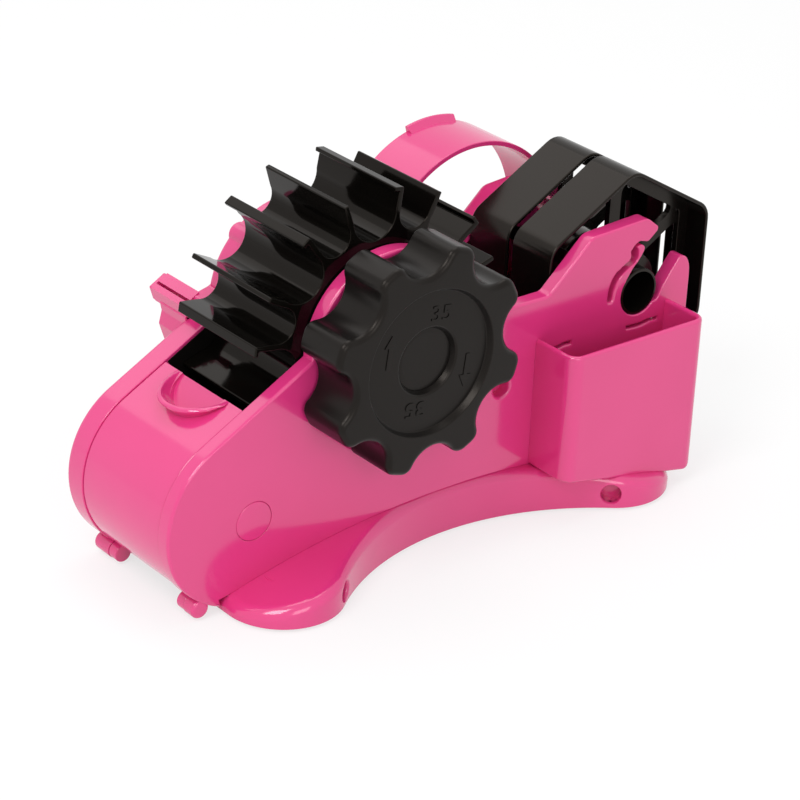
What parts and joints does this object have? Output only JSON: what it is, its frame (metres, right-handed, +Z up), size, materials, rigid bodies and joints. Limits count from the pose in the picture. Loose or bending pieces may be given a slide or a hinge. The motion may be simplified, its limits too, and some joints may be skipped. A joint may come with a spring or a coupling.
{
  "type": "multi-roll tape dispenser",
  "caption": "Desk tape dispenser with a knob-turned vane wheel, hexagonal roll spools that lift out, a hinged nose cover, a pen box and a side ring for a spare roll.",
  "frame": {"origin": "on the table, under the middle of the whole object's box", "axes": "+X from the nose to the spools, +Y away from the knob side, +Z up"},
  "size_m": [0.211, 0.0974, 0.1168],
  "materials": {
    "pink_plastic": "gloss, moulded pink ABS",
    "gloss_black": "gloss, moulded black",
    "satin_black": "satin, moulded black",
    "steel": "plain steel",
    "rubber": "soft rubber"
  },
  "bodies": {
    "body": {"base": "pink_plastic", "rubber_feet": "rubber", "near_shell": "pink_plastic", "far_shell": "pink_plastic", "shell_screws": "steel", "base_screws": "steel", "nose_cap": "pink_plastic", "hinge_pins": "steel", "blade_bar": "satin_black", "cutting_blade": "steel", "blade_screws": "steel", "pen_box": "pink_plastic", "box_screws": "steel", "spare_roll_ring": "pink_plastic", "ring_screws": "steel"},
    "wheel": {"vane_wheel": "gloss_black", "wheel_axle": "steel", "axle_cap": "satin_black", "knob": "satin_black", "knob_screw": "steel", "knob_cap": "satin_black"},
    "cover": {"nose_cover": "pink_plastic"},
    "reel": {"roll_shaft": "satin_black"},
    "near_reel": {"near_spool": "satin_black"},
    "far_reel": {"far_spool": "satin_black"}
  },
  "joints": [
    {"name": "wheel_turn", "type": "hinge", "parent": "body", "child": "wheel", "pos_m": [-0.02756, -0.00232, 0.072], "axis": [0, -1, 0], "continuous": true},
    {"name": "cover_tilt", "type": "hinge", "parent": "body", "child": "cover", "pos_m": [-0.09352, -0.00232, 0.0035], "axis": [0, -1, 0], "range_deg": [0, 65]},
    {"name": "reel_lift", "type": "slide", "parent": "body", "child": "reel", "axis": [0.6293, 0, 0.7771], "range_m": [0, 0.05]},
    {"name": "near_spool_spin", "type": "hinge", "parent": "reel", "child": "near_reel", "pos_m": [0.07194, -0.00232, 0.0626], "axis": [0, 1, 0], "continuous": true},
    {"name": "far_spool_spin", "type": "hinge", "parent": "reel", "child": "far_reel", "pos_m": [0.07194, -0.00232, 0.0626], "axis": [0, 1, 0], "continuous": true}
  ]
}
